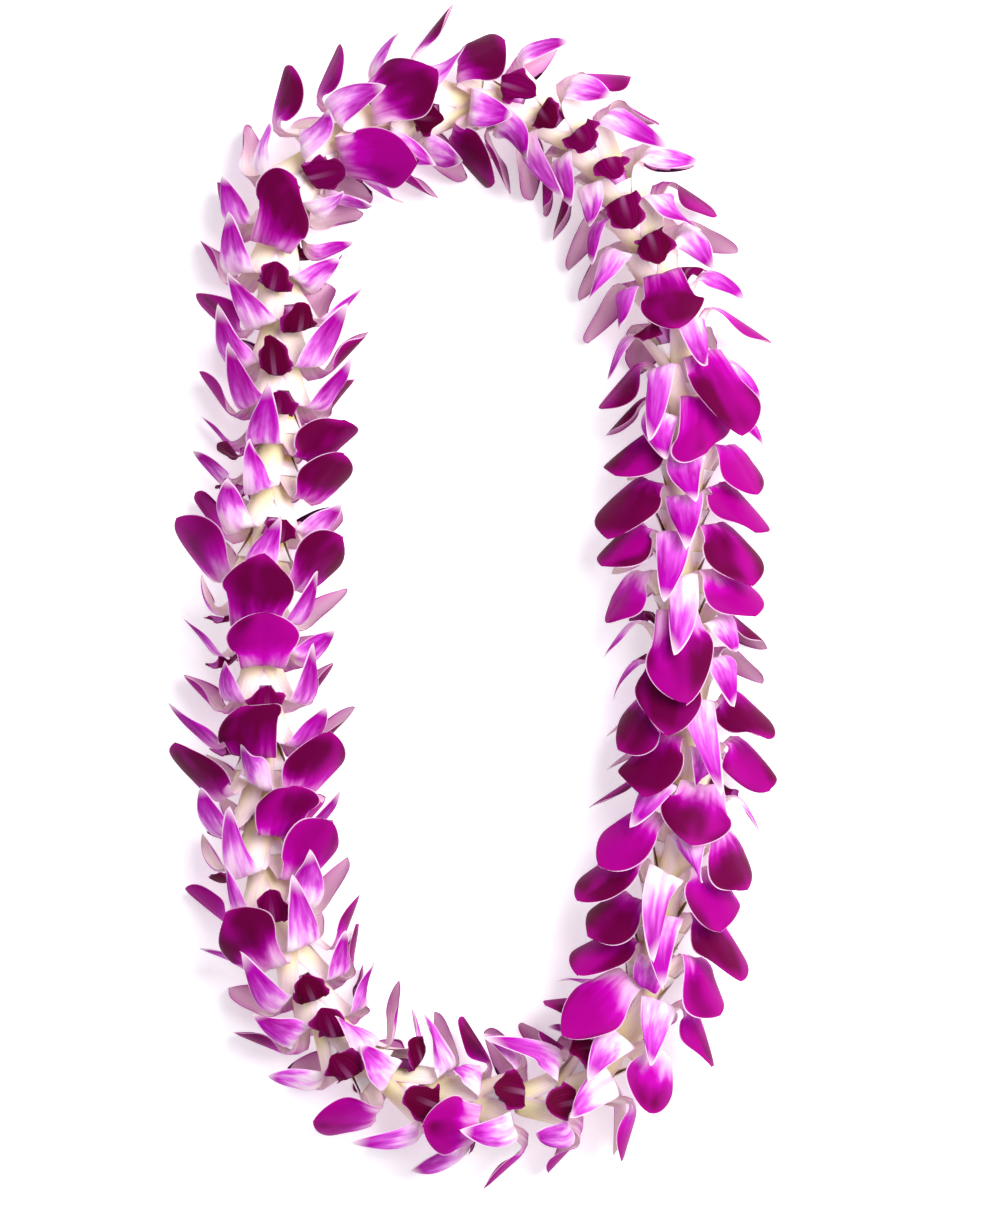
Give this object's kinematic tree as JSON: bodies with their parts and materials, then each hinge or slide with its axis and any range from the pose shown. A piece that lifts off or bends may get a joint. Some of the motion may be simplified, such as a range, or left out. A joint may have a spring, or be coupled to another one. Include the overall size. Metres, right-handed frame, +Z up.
{
  "type": "fresh flower lei",
  "caption": "Closed garland of fresh purple-and-white orchid blossoms strung face to base on a thread, worn round the neck, lying flat.",
  "frame": {"origin": "on the surface the lei lies on, under the middle of its bounding box", "axes": "+Z up; +Y along the loop's long way; the blossoms face counter-clockwise seen from +Z"},
  "size_m": [0.2464, 0.4893, 0.0575],
  "materials": {
    "petal": "soft satin, fleshy, slightly waxy",
    "cotton": "matt twisted cotton"
  },
  "bodies": {
    "root": {"blossom_01": "petal", "blossom_02": "petal", "blossom_03": "petal", "blossom_04": "petal", "blossom_05": "petal", "blossom_06": "petal", "blossom_07": "petal", "blossom_08": "petal", "blossom_09": "petal", "blossom_10": "petal", "blossom_11": "petal", "blossom_12": "petal", "blossom_13": "petal", "blossom_14": "petal", "blossom_15": "petal", "blossom_16": "petal", "blossom_17": "petal", "blossom_18": "petal", "blossom_19": "petal", "blossom_20": "petal", "blossom_21": "petal", "blossom_22": "petal", "blossom_23": "petal", "blossom_24": "petal", "blossom_25": "petal", "blossom_26": "petal", "blossom_27": "petal", "blossom_28": "petal", "blossom_29": "petal", "blossom_30": "petal", "blossom_31": "petal", "blossom_32": "petal", "blossom_33": "petal", "blossom_34": "petal", "blossom_35": "petal", "blossom_36": "petal", "blossom_37": "petal", "blossom_38": "petal", "blossom_39": "petal", "blossom_40": "petal", "blossom_41": "petal", "blossom_42": "petal", "blossom_43": "petal", "blossom_44": "petal", "blossom_45": "petal", "blossom_46": "petal", "blossom_47": "petal", "blossom_48": "petal", "blossom_49": "petal", "blossom_50": "petal", "blossom_51": "petal", "blossom_52": "petal", "blossom_53": "petal", "blossom_54": "petal", "blossom_55": "petal", "blossom_56": "petal", "blossom_57": "petal", "blossom_58": "petal", "thread": "cotton"}
  },
  "joints": []
}
